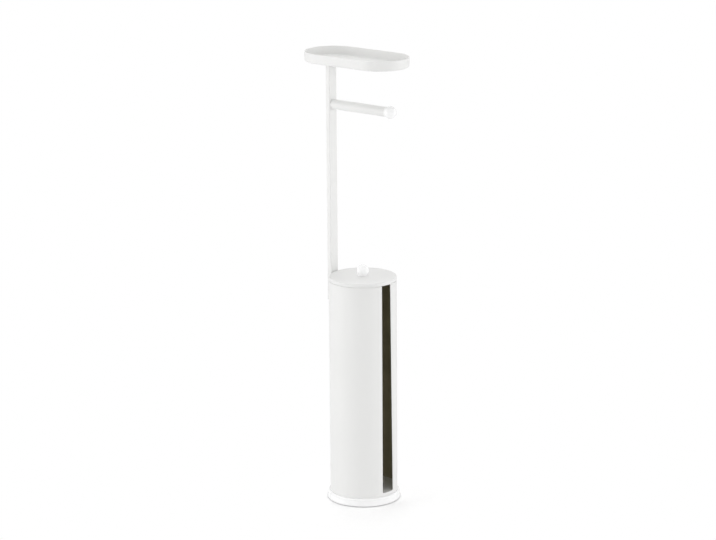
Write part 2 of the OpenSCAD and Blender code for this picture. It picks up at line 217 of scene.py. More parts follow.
class ScrewSizes(bpy.types.PropertyGroup):
    """Screws, and the holes that they and the rivet nuts go through."""
    small: length("Small thread", "Thread diameter of the base, post and tray screws", 5.0)
    large: length("Large thread", "Thread diameter of the screws in the knobs and the arm", 6.0)
    pan_width: share("Pan head width", "Radius of a pan head by thread diameter", 0.92, 2.0)
    pan_height: share("Pan head height", "Height of a pan head by thread diameter", 0.6)
    truss_width: share("Truss head width", "Radius of a truss head by thread diameter", 1.1, 2.0)
    truss_height: share("Truss head height", "Height of a truss head by thread diameter", 0.44)
    crown_width: share("Crown width", "Where the crown turns down, by head radius", 0.5)
    crown_round: share("Crown rounding", "Rounding of the crown by head radius", 1.2, 2.0)
    rim_height: share("Head rim", "Height of the head's straight rim by head height", 0.55)
    rim_round: share("Head rim rounding", "Rounding above the straight rim by head radius", 0.35)
    seat_edge: length("Seat edge", "Rounding around the seat of the head", 0.1)
    recess_reach: share("Recess reach", "From the middle to the end of the recess by head radius", 0.56)
    recess_width: share("Recess width", "Half the width of the recess by head radius", 0.11)
    recess_depth: share("Recess depth", "Depth of the recess by head height", 0.55)
    recess_taper: share("Recess taper", "Width at the bottom of the recess by width at its mouth", 0.6)
    pitch: share("Pitch", "Thread pitch by thread diameter", 0.17)
    segments: whole("Segments", "Faces around each quarter of a screw", 8)
    clearance: length("Clearance", "Free gap around a screw in its hole", 0.3)
    rivet_radius: length("Rivet nut radius", "Radius of the holes for the rivet nuts", 3.5)
    seed: whole("Seed", "Where the recesses of the screw heads point", 4, 0)


class FinishLooks(bpy.types.PropertyGroup):
    """Colours in linear light, and the gloss and grain of the powder coat."""
    coat: colour("Powder coat", "White semi-gloss coat of the sheet and tube pieces", (0.81, 0.81, 0.80))
    base: colour("Base coat", "Brighter white coat of the base shell", (0.94, 0.94, 0.94))
    # The canister inside colour is painted shade: its dark olive stands in for the shade inside the closed
    # canister, seen through the slot.
    inside: colour("Canister inside", "Thin primer on the canister's inner face", (0.42, 0.385, 0.25))
    knob: colour("Knobs", "Moulded white plastic of the knobs", (0.95, 0.95, 0.95))
    plastic: colour("Fittings", "Moulded white plastic of plug, spacers and washers", (0.76, 0.76, 0.745))
    zinc: colour("Zinc", "Plated steel of screws and nuts", (0.62, 0.63, 0.65))
    iron: colour("Ballast", "Dark primed casting", (0.045, 0.045, 0.05))
    foam: colour("Foam", "Black foam of the foot pad", (0.018, 0.018, 0.018))
    coat_roughness: share("Coat roughness", "Middle roughness of the powder coat", 0.33)
    base_gloss: share("Base gloss", "How much less rough the base's coat is", 0.06)
    coat_shine: share("Coat shine", "Specular level of the powder coat", 0.25)
    peel_depth: length("Peel depth", "Depth of the fine waves in the powder coat", 0.012)
    peel_waves: per_metre("Peel waves", "Fine waves of the powder coat per metre", 850.0)
    sheet_depth: length("Sheet depth", "Depth of the slight waves in the sheet", 0.03)
    sheet_waves: per_metre("Sheet waves", "Slight waves of the sheet per metre", 70.0)


class StudioSettings(bpy.types.PropertyGroup):
    """Camera, lamps and floor."""
    target: FloatVectorProperty(name="Target", description="Point that the camera looks at", size=3,
                                default=(-0.0074, -0.0060, 0.4826), unit="LENGTH", subtype="XYZ")
    distance: metres("Distance", "From the camera to its target", 5.379)
    azimuth: angle("Azimuth", "Turn of the camera round the stand, 0 looks along +Y", 38.51)
    elevation: angle("Elevation", "Height of the camera above the horizon", 14.70)
    roll: angle("Roll", "Turn of the camera about its line of sight", -0.39)
    lens: FloatProperty(name="Lens", description="Focal length on a 36 mm sensor", default=133.49,
                        unit="CAMERA")
    room_light: share("Room light", "Strength of the room's light from the sides", 1.22, 2.0)
    ceiling_light: share("Ceiling light", "Strength of the room's light from straight above", 0.35, 2.0)
    lamp_size: metres("Lamp size", "Edge of each square lamp", 1.6)
    lamp_distance: metres("Lamp distance", "From the stand to each lamp around it, along the floor", 2.5)
    side_turn: angle("Side turn", "Angle between the camera and each side lamp", 82.0)
    side_height: metres("Side height", "Height of the side lamps above the floor", 0.6)
    left_power: watts("Left power", "Power of the lamp to the left of the camera's view", 17.5)
    right_power: watts("Right power", "Power of the lamp to the right of the camera's view", 15.2)
    front_height: metres("Front height", "Height of the lamp on the camera's side", 1.2)
    front_power: watts("Front power", "Power of the lamp on the camera's side", 3.0)
    back_height: metres("Back height", "Height of the lamp behind the stand", 2.6)
    back_power: watts("Back power", "Power of the lamp behind the stand", 12.0)
    top_height: metres("Top height", "Height of the lamp above the stand", 2.6)
    top_power: watts("Top power", "Power of the lamp above the stand", 13.5)
    floor: colour("Floor", "Colour of the pale floor", (0.93, 0.93, 0.93))
    floor_half: metres("Floor half", "Half the edge of the square floor", 30.0)
    floor_roughness: share("Floor roughness", "Roughness of the floor", 0.9)
    reflections: share("Reflections", "Strength of room and floor in the stand's reflections", 0.75, 2.0)
    near_glow: share("Near glow", "What the floor adds in view beside the stand", 0.12, 2.0)
    white_reach: metres("White reach", "Distance from the stand at which the floor shows plain white", 0.22)


class HolderSettings(bpy.types.PropertyGroup):
    """All settings of the stand."""
    base: PointerProperty(type=BaseSizes, name="Base", description="Sizes of the base shell")
    canister: PointerProperty(type=CanisterSizes, name="Canister", description="Sizes of the canister")
    lid: PointerProperty(type=LidSizes, name="Lid", description="Sizes of the lid")
    knob: PointerProperty(type=KnobSizes, name="Knobs", description="Sizes of the knobs")
    post: PointerProperty(type=PostSizes, name="Post", description="Sizes of post, plug and plate")
    arm: PointerProperty(type=ArmSizes, name="Arm", description="Sizes of the arm")
    tray: PointerProperty(type=TraySizes, name="Tray", description="Sizes of the tray")
    screw: PointerProperty(type=ScrewSizes, name="Screws", description="Sizes of screws and holes")
    looks: PointerProperty(type=FinishLooks, name="Looks", description="Colours and gloss")
    studio: PointerProperty(type=StudioSettings, name="Studio", description="Camera, lamps and floor")


def settings():
    """The settings of the current scene."""
    return bpy.context.scene.paper_holder


# Node helpers

def add_node(tree, kind, values=None, **options):
    """Adds a node and feeds its inputs, by name or number, with sockets or plain values."""
    node = tree.nodes.new(kind)
    for option, value in options.items():
        setattr(node, option, value)
    for key, value in (values or {}).items():
        if isinstance(value, bpy.types.NodeSocket):
            tree.links.new(value, node.inputs[key])
        else:
            node.inputs[key].default_value = value
    return node


def calc(tree, operation, a, b=0.0):
    """The result of one math node."""
    return add_node(tree, "ShaderNodeMath", {0: a, 1: b}, operation=operation).outputs[0]


def count(tree, operation, a, b):
    """The result of one whole-number math node."""
    return add_node(tree, "FunctionNodeIntegerMath", {0: a, 1: b}, operation=operation).outputs[0]


# Finishes

def noise(tree, waves, detail=2.0):
    """A noise that is fixed to the piece, with its scale in waves per metre."""
    place = add_node(tree, "ShaderNodeTexCoord").outputs["Object"]
    node = add_node(tree, "ShaderNodeTexNoise", {"Vector": place, "Scale": waves, "Detail": detail})
    return node.outputs["Fac"]


def cells(tree, waves):
    """Closed cells that are fixed to the piece, with their number per metre."""
    place = add_node(tree, "ShaderNodeTexCoord").outputs["Object"]
    node = add_node(tree, "ShaderNodeTexVoronoi", {"Vector": place, "Scale": waves})
    return node.outputs["Distance"]


def spread(tree, pattern, low, high):
    """The middle range of a pattern, from 0.3 to 0.7, stretched from low to high."""
    limits = {"Value": pattern, "From Min": 0.3, "From Max": 0.7, "To Min": low, "To Max": high}
    return add_node(tree, "ShaderNodeMapRange", limits).outputs[0]


def surface(name, shade, depth_of_shade, shade_waves, roughness, grains, pattern=noise, **constants):
    """A finish with an uneven shade, uneven gloss and layers of surface grain.

    shade is the lighter colour and depth_of_shade says how much darker the other one is. roughness
    is a pair, and each grain is its waves per metre and its depth in metres.
    """
    material = bpy.data.materials.get(name)
    if material:
        return material
    material = bpy.data.materials.new(name)
    material.use_nodes = True
    tree = material.node_tree
    shader = tree.nodes["Principled BSDF"]
    darker = [part * (1.0 - depth_of_shade) for part in shade]
    blend = add_node(tree, "ShaderNodeMix", {
        "Factor": spread(tree, noise(tree, shade_waves, 3.0), 0.0, 1.0),
    }, data_type="RGBA")
    blend.inputs[COLOUR_A].default_value = (*darker, 1.0)
    blend.inputs[COLOUR_B].default_value = (*shade, 1.0)
    tree.links.new(blend.outputs[COLOUR_RESULT], shader.inputs["Base Color"])
    gloss = spread(tree, noise(tree, shade_waves * 2.3), *roughness)
    tree.links.new(gloss, shader.inputs["Roughness"])
    bumped = None
    for waves, depth in grains:
        layer = {"Height": pattern(tree, waves), "Strength": 1.0, "Distance": depth}
        if bumped:
            layer["Normal"] = bumped
        bumped = add_node(tree, "ShaderNodeBump", layer).outputs["Normal"]
    tree.links.new(bumped, shader.inputs["Normal"])
    for socket, value in constants.items():
        shader.inputs[socket.replace("_", " ")].default_value = value
    return material


def powder_coat(name, shade, depth_of_shade, shade_waves, glossy, dull):
    """Semi-gloss powder coat, with a fine peel over slightly wavy sheet."""
    looks = settings().looks
    grains = [(looks.peel_waves, looks.peel_depth), (looks.sheet_waves, looks.sheet_depth)]
    return surface(name, shade, depth_of_shade, shade_waves, (glossy, dull), grains,
                   Specular_IOR_Level=looks.coat_shine)


def coat_white():
    """The white coat of the sheet and tube pieces."""
    looks = settings().looks
    middle = looks.coat_roughness
    return powder_coat("coat_white", looks.coat, 0.02, 9.0, middle - 0.03, middle + 0.04)


def base_white():
    """A brighter, slightly glossier copy of the white coat, for the base shell."""
    looks = settings().looks
    middle = looks.coat_roughness - looks.base_gloss
    return powder_coat("base_white", looks.base, 0.015, 11.0, middle - 0.03, middle + 0.03)


def coat_inside():
    """Dull dark olive on the canister's inner face: painted shade for the dim inside of the closed
    canister.
    """
    return surface("coat_inside", settings().looks.inside, 0.18, 22.0, (0.55, 0.75),
                   [(1300.0, 0.03 * MM), (90.0, 0.05 * MM)])


def knob_gloss():
    """Glossy moulded plastic."""
    return surface("knob_gloss", settings().looks.knob, 0.015, 60.0, (0.16, 0.22),
                   [(300.0, 0.006 * MM), (2200.0, 0.002 * MM)])


def moulded_plastic():
    """Matt moulded plastic with a spark-eroded grain."""
    return surface("moulded_plastic", settings().looks.plastic, 0.03, 80.0, (0.5, 0.62),
                   [(2600.0, 0.03 * MM)])


def zinc_plate():
    """Bright zinc on steel."""
    return surface("zinc_plate", settings().looks.zinc, 0.16, 420.0, (0.24, 0.4),
                   [(1500.0, 0.01 * MM), (260.0, 0.02 * MM)], Metallic=1.0)


def cast_iron():
    """Dark primer over a sand-cast skin."""
    return surface("cast_iron", settings().looks.iron, 0.35, 140.0, (0.55, 0.8),
                   [(1700.0, 0.16 * MM), (260.0, 0.3 * MM)])


def cell_foam():
    """Dense foam with closed cells."""
    return surface("cell_foam", settings().looks.foam, 0.4, 500.0, (0.85, 1.0),
                   [(1500.0, 0.22 * MM)], pattern=cells)


# Mesh helpers

def arc(centre, start, end):
    """Points from start to end on the shorter arc about centre, both ends included."""
    a = start - centre
    b = end - centre
    sweep = atan2(a.x * b.y - a.y * b.x, a.dot(b))
    steps = max(1, ceil(abs(sweep) / ARC_STEP))
    return [centre + Matrix.Rotation(sweep * i / steps, 2) @ a for i in range(steps + 1)]


def rounded(corners, closed=False):
    """An outline from corners of (r, z) or (r, z, rounding), where a rounding becomes an arc."""
    points = []
    for i, corner in enumerate(corners):
        here = Vector(corner[:2])
        rounding = corner[2] if len(corner) > 2 else 0.0
        if not rounding:
            points.append(here)
            continue
        back = (Vector(corners[i - 1][:2]) - here).normalized()
        on = (Vector(corners[(i + 1) % len(corners)][:2]) - here).normalized()
        half = back.angle(on) / 2
        centre = here + (back + on).normalized() * (rounding / sin(half))
        reach = rounding / tan(half)
        points += arc(centre, here + back * reach, here + on * reach)
    return points + points[:1] if closed else points


def mesh_object(name, points=(), faces=()):
    """A mesh object at the origin, linked to the scene."""
    mesh = bpy.data.meshes.new(name)
    mesh.from_pydata([tuple(p) for p in points], [], faces)
    piece = bpy.data.objects.new(name, mesh)
    bpy.context.scene.collection.objects.link(piece)
    return piece


def discard(piece):
    """Removes a helper object and its mesh."""
    mesh = piece.data
    bpy.data.objects.remove(piece)
    bpy.data.meshes.remove(mesh)


def move(piece, x, z=0.0):
    """Moves a piece's mesh along X and Z, and leaves its object at the origin."""
    piece.data.transform(Matrix.Translation((x, 0.0, z)))


def lay_along_x(piece, x, z):
    """Lays a piece that stands on the origin along +X, from the point (x, 0, z)."""
    piece.data.transform(Matrix.Translation((x, 0.0, z)) @ Matrix.Rotation(pi / 2, 4, "Y"))


def settle(piece):
    """Makes what the modifiers show the piece's own plain mesh, and removes them."""
    graph = bpy.context.evaluated_depsgraph_get()
    made = bpy.data.meshes.new_from_object(piece.evaluated_get(graph), preserve_all_data_layers=True,
                                           depsgraph=graph)
    piece.modifiers.clear()
    old = piece.data
    piece.data = made
    bpy.data.meshes.remove(old)
    made.name = piece.name


def edit(piece, change):
    """Runs change(bm) on the piece's mesh."""
    bm = bmesh.new()
    bm.from_mesh(piece.data)
    change(bm)
    bm.to_mesh(piece.data)
    bm.free()


def face_outwards(piece):
    """Turns every face of a closed piece outwards."""
    edit(piece, lambda bm: bmesh.ops.recalc_face_normals(bm, faces=bm.faces))


def join(piece, other):
    """Adds another piece's mesh to this one, and removes the other piece."""
    edit(piece, lambda bm: bm.from_mesh(other.data))
    discard(other)


def cut(piece, tool):
    """Takes the tool's shape out of the piece, and removes the tool."""
    modifier = piece.modifiers.new("Cut", "BOOLEAN")
    modifier.operation = "DIFFERENCE"
    modifier.solver = "EXACT"
    modifier.object = tool
    settle(piece)
    discard(tool)


def drill(piece, holes):
    """Drills round holes, each given by its two ends and its radius."""
    tool = mesh_object(piece.name + "_holes")

    def rods(bm):
        for start, end, radius in holes:
            axis = Vector(end) - Vector(start)
            turn = axis.to_track_quat("Z", "Y").to_matrix().to_4x4()
            place = Matrix.Translation((Vector(start) + Vector(end)) / 2) @ turn
            bmesh.ops.create_cone(bm, cap_ends=True, segments=HOLE_SEGMENTS, radius1=radius,
                                  radius2=radius, depth=axis.length, matrix=place)

    edit(tool, rods)
    cut(piece, tool)


def complete(piece, body, slot, *nodes):
    """Checks that the piece is closed, evens its shading and ties it to its body and nodes."""
    bm = bmesh.new()
    bm.from_mesh(piece.data)
    open_edges = sum(not e.is_manifold for e in bm.edges)
    bm.free()
    if open_edges:
        raise RuntimeError(f"{piece.name} has {open_edges} open edges")
    for face in piece.data.polygons:
        face.use_smooth = True
    normals = piece.modifiers.new("Normals", "WEIGHTED_NORMAL")
    normals.keep_sharp = True
    settle(piece)
    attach(piece, body)
    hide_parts(*nodes)


# Geometry Nodes

def new_tree(name, inputs):
    """A Geometry Nodes tree with named inputs, and the node that gives their values."""
    tree = bpy.data.node_groups.new(name, "GeometryNodeTree")
    for label, kind in inputs:
        tree.interface.new_socket(label, in_out="INPUT", socket_type="NodeSocket" + kind)
    tree.interface.new_socket("Geometry", in_out="OUTPUT", socket_type="NodeSocketGeometry")
    return tree, add_node(tree, "NodeGroupInput").outputs


def end_tree(tree, geometry, material):
    """Ends a tree in smooth shading, Realize Instances and Set Material."""
    smooth = add_node(tree, "GeometryNodeSetShadeSmooth", {"Geometry": geometry})
    real = add_node(tree, "GeometryNodeRealizeInstances", {"Geometry": smooth.outputs[0]})
    painted = add_node(tree, "GeometryNodeSetMaterial", {"Geometry": real.outputs[0], "Material": material})
    add_node(tree, "NodeGroupOutput", {"Geometry": painted.outputs[0]})


def run_tree(piece, tree, values):
    """Puts a tree on a piece, sets its inputs by their identifiers and settles the result."""
    modifier = piece.modifiers.new(tree.name, "NODES")
    modifier.node_group = tree
    for item in tree.interface.items_tree:
        if item.in_out == "INPUT":
            modifier[item.identifier] = values[item.name]
    settle(piece)


def drawn_tree():
    """The tree that carries a section round a core rectangle.

    A section point (r, z) lands r outside the core, with a quarter circle at each core corner. A
    core of no size turns the section, and a long one draws it out to an oval. Where r is negative
    the core shrinks by it, so a section that starts and ends there closes its flat faces.
    """
    name = "Drawn Section"
    tree = bpy.data.node_groups.get(name)
    if tree:
        return tree
    tree, given = new_tree(name, [("Section", "Object"), ("Half Length", "Float"), ("Half Width", "Float"),
                                  ("Quarter Segments", "Int"), ("Material", "Material")])
    section = add_node(tree, "GeometryNodeObjectInfo", {"Object": given["Section"]}).outputs["Geometry"]
    points = add_node(tree, "GeometryNodeAttributeDomainSize", {0: section}).outputs["Point Count"]
    steps = count(tree, "ADD", given["Quarter Segments"], 1)
    around = count(tree, "ADD", count(tree, "MULTIPLY", steps, 4), 1)
    size = {"Vertices X": around, "Vertices Y": points}
    grid = add_node(tree, "GeometryNodeMeshGrid", size).outputs["Mesh"]

    index = add_node(tree, "GeometryNodeInputIndex").outputs[0]
    column = count(tree, "DIVIDE_FLOOR", index, points)
    quarter = count(tree, "DIVIDE_FLOOR", column, steps)
    part = calc(tree, "DIVIDE", count(tree, "MODULO", column, steps), given["Quarter Segments"])
    turn = calc(tree, "MULTIPLY", calc(tree, "ADD", quarter, part), pi / 2)
    middle = calc(tree, "MULTIPLY", calc(tree, "ADD", quarter, 0.5), pi / 2)

    place = add_node(tree, "GeometryNodeInputPosition").outputs[0]
    row = {"Geometry": section, "Value": place, "Index": count(tree, "MODULO", index, points)}
    point = add_node(tree, "GeometryNodeSampleIndex", row, data_type="FLOAT_VECTOR").outputs[0]
    parts = add_node(tree, "ShaderNodeSeparateXYZ", {0: point}).outputs
    inner = calc(tree, "MINIMUM", parts["X"], 0.0)
    outer = calc(tree, "MAXIMUM", parts["X"], 0.0)

    def coordinate(function, half):
        side = calc(tree, "SIGN", calc(tree, function, middle))
        core = calc(tree, "MULTIPLY", side, calc(tree, "ADD", half, inner))
        return calc(tree, "ADD", core, calc(tree, "MULTIPLY", outer, calc(tree, function, turn)))

    spot = add_node(tree, "ShaderNodeCombineXYZ", {
        "X": coordinate("COSINE", given["Half Length"]),
        "Y": coordinate("SINE", given["Half Width"]),
        "Z": parts["Z"],
    }).outputs[0]
    moved = add_node(tree, "GeometryNodeSetPosition", {"Geometry": grid, "Position": spot}).outputs[0]
    merged = add_node(tree, "GeometryNodeMergeByDistance", {"Geometry": moved, "Distance": MERGE_DISTANCE})
    end_tree(tree, merged.outputs[0], given["Material"])
    return tree


def row_tree():
    """The tree that sets copies of a screw in a row or a ring.

    Copy number i stands at Start plus i times Step, turned about the Z axis by i times Turn. Each
    one is spun about its own axis at random, so that the recesses don't line up.
    """
    name = "Screw Row"
    tree = bpy.data.node_groups.get(name)
    if tree:
        return tree
    tree, given = new_tree(name, [("Screw", "Object"), ("Count", "Int"), ("Start", "Vector"),
                                  ("Step", "Vector"), ("Turn", "Float"), ("Direction", "Rotation"),
                                  ("Seed", "Int"), ("Material", "Material")])
    index = add_node(tree, "GeometryNodeInputIndex").outputs[0]
    moved = add_node(tree, "ShaderNodeVectorMath", {0: given["Step"], "Scale": index}, operation="SCALE")
    ends = {0: given["Start"], 1: moved.outputs[0]}
    place = add_node(tree, "ShaderNodeVectorMath", ends, operation="ADD")
    turned_place = add_node(tree, "ShaderNodeVectorRotate", {
        "Vector": place.outputs[0],
        "Angle": calc(tree, "MULTIPLY", index, given["Turn"]),
    }, rotation_type="Z_AXIS")
    points = add_node(tree, "GeometryNodePoints", {
        "Count": given["Count"],
        "Position": turned_place.outputs[0],
    }).outputs[0]
    draw = {"ID": index, "Seed": given["Seed"]}
    chance = add_node(tree, "FunctionNodeRandomValue", draw, data_type="FLOAT")
    spin = add_node(tree, "FunctionNodeAxisAngleToRotation", {
        "Axis": (0.0, 0.0, 1.0),
        "Angle": calc(tree, "MULTIPLY", chance.outputs[1], pi),
    })
    stance = add_node(tree, "FunctionNodeRotateRotation", {
        "Rotation": spin.outputs[0],
        "Rotate By": given["Direction"],
    }, rotation_space="GLOBAL")
    screw = add_node(tree, "GeometryNodeObjectInfo", {"Object": given["Screw"]}).outputs["Geometry"]
    copies = add_node(tree, "GeometryNodeInstanceOnPoints", {
        "Points": points,
        "Instance": screw,
        "Rotation": stance.outputs[0],
    }).outputs[0]
    end_tree(tree, copies, given["Material"])
    return tree


def drawn(name, section, material, half_length=0.0, half_width=0.0, quarter_segments=QUARTER_SEGMENTS):
    """A closed piece that carries a section of (r, z) points round a core rectangle."""
    outline = mesh_object(name + "_section", [(p.x, 0.0, p.y) for p in section])
    piece = mesh_object(name)
    run_tree(piece, drawn_tree(), {
        "Section": outline,
        "Half Length": half_length,
        "Half Width": half_width,
        "Quarter Segments": quarter_segments,
        "Material": material,
    })
    discard(outline)
    face_outwards(piece)
    return piece


# Places

def centre_of(node):
    """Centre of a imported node's box."""
    low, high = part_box(node)
    return (low + high) / 2


def post_screw_heights():
    """Heights of the two screws that hold the post."""
    low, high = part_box("post_screws")
    head = settings().screw.small * settings().screw.pan_width
    return low.z + head, high.z - head


def tray_screw_places():
    """X of the two screws in the tray floor."""
    low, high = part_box("tray_screws")
    head = settings().screw.small * settings().screw.truss_width
    return low.x + head, high.x - head


def hole_radius(thread):
    """Radius of the clearance hole for a screw."""
    return thread / 2 + settings().screw.clearance


def tray_screw_holes(low, high):
    """Holes for the two tray screws through a sheet between two heights."""
    small = settings().screw.small
    return [((x, 0.0, low - small), (x, 0.0, high + small), hole_radius(small))
            for x in tray_screw_places()]


# Pieces

class BuildBase(bpy.types.Operator):
    """Build the spun base shell with its shoulder, groove and lip"""
    bl_idname = "holder.build_base"
    bl_label = "Base shell"

    def execute(self, context):
        sizes = settings().base
        low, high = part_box("base_shell")
        foot = high.y
        shoulder = sizes.shoulder_radius
        wall = sizes.wall
        lip_z = low.z + sizes.lip
        shoulder_z = high.z - sizes.shoulder_round
        groove_z = high.z - sizes.groove_drop
        above = groove_z + sizes.groove_width / 2
        below = groove_z - sizes.groove_width / 2

        def flare(z):
            return shoulder + (foot - shoulder) * (shoulder_z - z) / (shoulder_z - lip_z)

        bottom_of_groove = flare(groove_z) - sizes.groove_depth
        outside = [
            (0.0, high.z),
            (shoulder, high.z, sizes.shoulder_round),
            (flare(above), above, sizes.groove_round),
            (bottom_of_groove, above, sizes.groove_round),
            (bottom_of_groove, below, sizes.groove_round),
            (flare(below), below, sizes.groove_round),
            (foot, lip_z, sizes.lip_round),
            (foot, low.z, sizes.foot_round),
        ]
        inside = [
            (foot - wall, low.z, sizes.foot_round),
            (foot - wall, lip_z),
            (shoulder - wall, shoulder_z),
            (shoulder - wall, high.z - wall, sizes.shoulder_round - wall),
            (0.0, high.z - wall),
        ]
        piece = drawn("base_shell_spun", rounded(outside + inside), base_white())
        complete(piece, "stand", "white_coat", "base_shell")
        return {"FINISHED"}


def slot_edges(sizes, radius, low, shoulder, rim):
    """Rows of the slotted sheet from the slot's lower end to the rim: (z, radius, right, left).

    right and left are angles. The sheet steps in to the neck between two rows at the shoulder.
    """
    half = sizes.slot_width / 2
    corner_z = low + sizes.slot_round
    steps = ceil(pi / 2 / ARC_STEP)
    rows = []
    for i in range(steps):
        turn = pi / 2 * i / steps
        offset = half - sizes.slot_round + sizes.slot_round * sin(turn)
        rows.append((corner_z - sizes.slot_round * cos(turn), offset, -offset))
    heights = [corner_z + (shoulder - corner_z) * i / sizes.rows for i in range(sizes.rows + 1)]
    for z in heights + [shoulder, rim]:
        rows.append((z, half - sizes.slot_close * (z - corner_z) / (rim - corner_z), -half))
    radii = [radius] * (len(rows) - 2) + [radius - sizes.neck] * 2
    turn = sizes.slot_turn
    return [(z, r, turn + atan2(a, sqrt(r**2 - a**2)), turn + atan2(b, sqrt(r**2 - b**2)))
            for (z, a, b), r in zip(rows, radii)]


def slotted_sheet(name, radius, low, shoulder, rim, sizes):
    """The outer face of the canister: a closed band, a slotted sheet above it and the neck."""
    rows = slot_edges(sizes, radius, low + sizes.slot_band, shoulder, rim)
    first_right, first_left = rows[0][2:]
    slot_step = (first_right - first_left) / sizes.slot_columns
    sheet = [[right + (2 * pi + left - right) * i / sizes.columns for i in range(sizes.columns + 1)]
             for z, r, right, left in rows]
    ring = sheet[0] + [2 * pi + first_left + slot_step * i for i in range(1, sizes.slot_columns)]
    heights = [low + sizes.slot_band * i / sizes.band_rows for i in range(sizes.band_rows + 1)]
    piece = mesh_object(name)

    def build(bm):
        def row(angles, r, z):
            return [bm.verts.new((r * cos(a), r * sin(a), z)) for a in angles]

        band = [row(ring, radius, z) for z in heights]
        for under, over in zip(band, band[1:]):
            for i, vertex in enumerate(under):
                on = (i + 1) % len(ring)
                bm.faces.new((vertex, under[on], over[on], over[i]))
        grid = [band[-1][:sizes.columns + 1]]
        grid += [row(angles, r, z) for angles, (z, r, right, left) in zip(sheet[1:], rows[1:])]
        for under, over in zip(grid, grid[1:]):
            for i in range(sizes.columns):
                bm.faces.new((under[i], under[i + 1], over[i + 1], over[i]))

    edit(piece, build)
    return piece


class BuildCanister(bpy.types.Operator):
    """Build the rolled canister with its slot, necked rim and post screw holes"""
    bl_idname = "holder.build_canister"
    bl_label = "Canister"

    def execute(self, context):
        sizes = settings().canister
        low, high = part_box("canister")
        radius = high.y
        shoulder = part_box("lid")[0].z - sizes.seam
        piece = slotted_sheet("canister_rolled", radius, low.z, shoulder, high.z, sizes)
        piece.data.materials.append(coat_white())
        # The second material is painted shade; the wall's material offset puts it on the inner face.
        piece.data.materials.append(coat_inside())
        wall = piece.modifiers.new("Wall", "SOLIDIFY")
        wall.thickness = sizes.wall
        wall.offset = -1.0
        wall.use_even_offset = True
        wall.material_offset = 1
        edge = piece.modifiers.new("Edge", "BEVEL")
        edge.width = sizes.edge
        edge.segments = sizes.edge_segments
        edge.limit_method = "ANGLE"
        edge.angle_limit = sizes.edge_angle
        settle(piece)
        hole = hole_radius(settings().screw.small)
        drill(piece, [((-2 * radius, 0.0, z), (0.0, 0.0, z), hole) for z in post_screw_heights()])
        complete(piece, "stand", "white_coat", "canister")
        return {"FINISHED"}


class BuildLid(bpy.types.Operator):
    """Build the pressed lid with its raised panel, seat and skirt"""
    bl_idname = "holder.build_lid"
    bl_label = "Lid"

    def execute(self, context):
        sizes = settings().lid
        low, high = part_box("lid")
        outer = high.y
        wall = sizes.wall
        skirt_inside = outer - wall
        seat_top = high.z - sizes.panel_rise
        slope_out = skirt_inside - sizes.skirt_gap - settings().canister.wall - sizes.seat_width
        slope_in = slope_out - sizes.slope_width
        section = [
            (sizes.hole_radius, high.z),
            (slope_in, high.z, sizes.panel_round),
            (slope_out, seat_top, sizes.panel_round),
            (outer, seat_top, sizes.edge_round),
            (outer, low.z, sizes.skirt_round),
            (skirt_inside, low.z, sizes.skirt_round),
            (skirt_inside, seat_top - wall, sizes.inner_round),
            (slope_out, seat_top - wall, sizes.panel_round),
            (slope_in, high.z - wall, sizes.panel_round),
            (sizes.hole_radius, high.z - wall),
        ]
        piece = drawn("lid_pressed", rounded(section, closed=True), coat_white())
        complete(piece, "lid", "white_coat", "lid")
        return {"FINISHED"}


def ball_knob(name, radius, height):
    """A ball knob that stands on z = 0, with its foot, neck and threaded hole."""
    sizes = settings().knob
    centre = Vector((0.0, height - radius))
    neck = sizes.neck
    foot = sizes.foot_radius
    neck_drop = sqrt((radius + neck) ** 2 - (foot + neck) ** 2)
    neck_centre = Vector((foot + neck, centre.y - neck_drop))
    on_ball = centre + (neck_centre - centre).normalized() * radius
    top = Vector((0.0, height))
    side = centre + Vector((radius, 0.0))
    section = rounded([
        (0.0, sizes.thread_depth),
        (sizes.thread_radius, sizes.thread_depth),
        (sizes.thread_radius, 0.0, sizes.thread_edge),
        (foot, 0.0, sizes.foot_edge),
        (foot, neck_centre.y),
    ])[:-1]
    section += arc(neck_centre, Vector((foot, neck_centre.y)), on_ball)[:-1]
    section += arc(centre, on_ball, side)[:-1] + arc(centre, side, top)
    return drawn(name, section, knob_gloss())


class BuildKnobs(bpy.types.Operator):
    """Build the ball knobs on the lid and at the end of the arm"""
    bl_idname = "holder.build_knobs"
    bl_label = "Knobs"

    def execute(self, context):
        low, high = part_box("lid_knob")
        lid_knob = ball_knob("lid_ball_knob", high.y, high.z - low.z)
        move(lid_knob, 0.0, low.z)
        complete(lid_knob, "lid", "knob_white", "lid_knob")
        low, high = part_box("arm_knob")
        arm_knob = ball_knob("arm_ball_knob", high.y, high.x - low.x)
        lay_along_x(arm_knob, low.x, centre_of("arm_knob").z)
        complete(arm_knob, "stand", "knob_white", "arm_knob")
        return {"FINISHED"}


def post_core():
    """What the post tube, its plug and its weld are drawn around."""
    sizes = settings().post
    low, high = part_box("post")
    return {
        "half_length": (high.x - low.x) / 2 - sizes.corner,
        "half_width": (high.y - low.y) / 2 - sizes.corner,
        "quarter_segments": sizes.corner_segments,
    }


